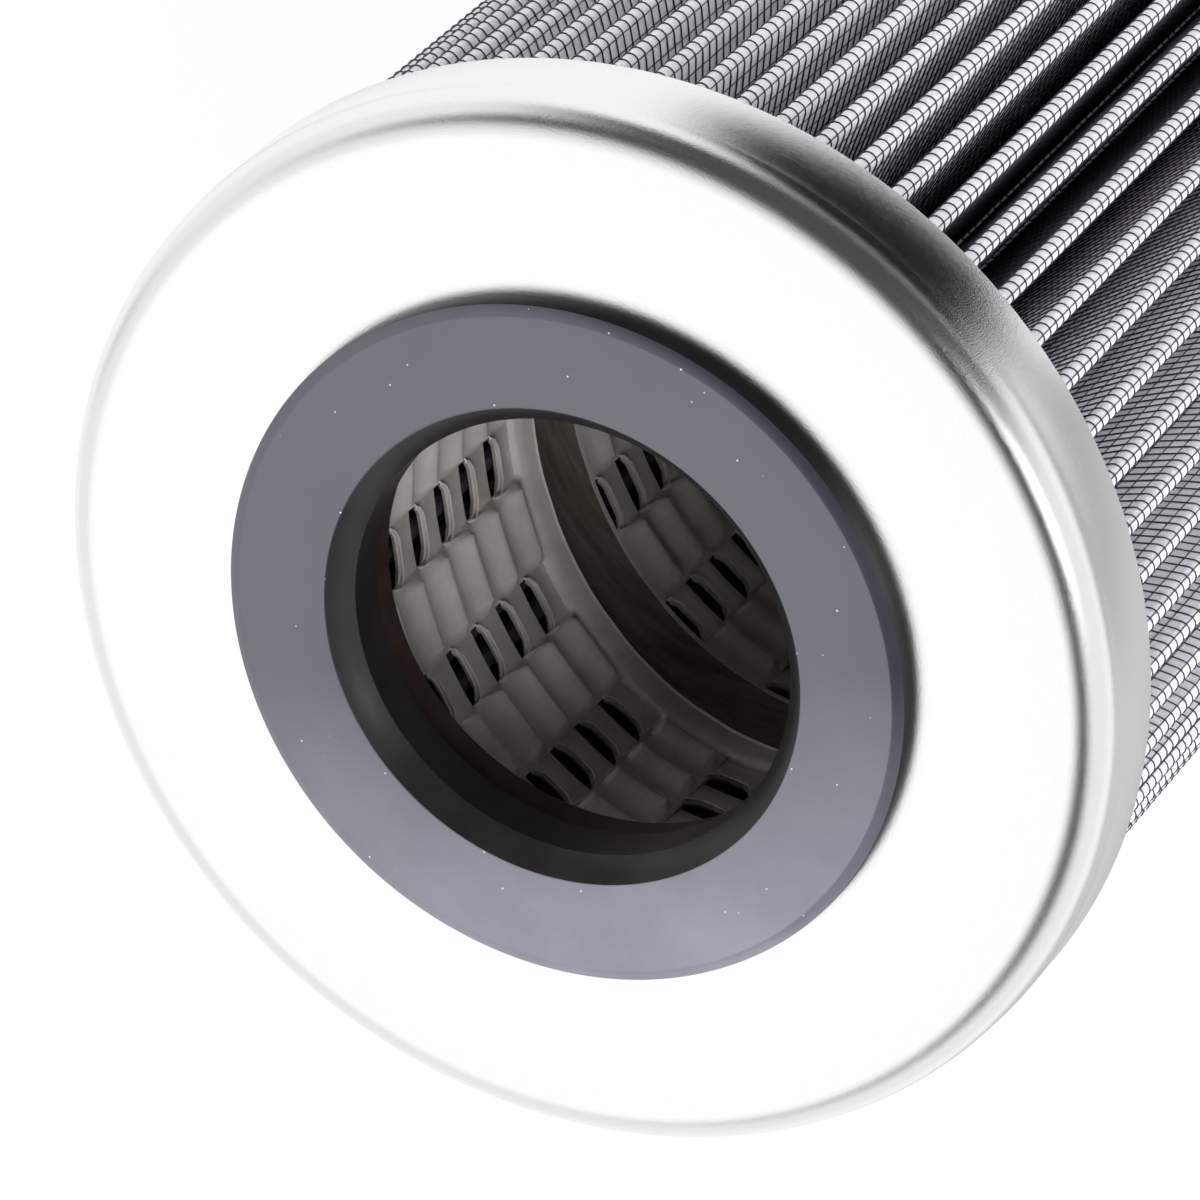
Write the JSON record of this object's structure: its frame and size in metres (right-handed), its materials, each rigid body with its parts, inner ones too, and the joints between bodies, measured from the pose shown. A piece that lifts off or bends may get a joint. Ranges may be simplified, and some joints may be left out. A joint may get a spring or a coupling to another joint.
{
  "type": "pleated hydraulic filter element",
  "caption": "Round pleated filter element: wire-backed glass-fibre pleats round a louvred centre tube, between pressed end caps, with a rubber gasket on the open end",
  "frame": {"origin": "centre of the closed end cap's outer face", "axes": "+Z along the element towards the gasket; +Y towards the pleat pack's seam; +X to the right of them"},
  "size_m": [0.0954, 0.0954, 0.127],
  "materials": {
    "zinc_plate": "bright zinc plate, fine speckle",
    "gasket_rubber": "black moulded rubber, satin",
    "tube_steel": "rolled steel strip, lightly oiled",
    "wire_cloth": "dark coated woven wire",
    "scrim": "white spun fleece",
    "glass_fibre": "white glass-fibre sheet",
    "adhesive": "cured adhesive"
  },
  "bodies": {
    "root": {"bottom_end_cap": "zinc_plate", "top_end_cap": "zinc_plate", "gasket": "gasket_rubber", "centre_tube": "tube_steel", "outer_support_mesh": "wire_cloth", "outer_scrim": "scrim", "filter_medium": "glass_fibre", "inner_scrim": "scrim", "inner_support_mesh": "wire_cloth", "pleat_seam_clip": "tube_steel", "bottom_potting": "adhesive", "top_potting": "adhesive"}
  },
  "joints": []
}
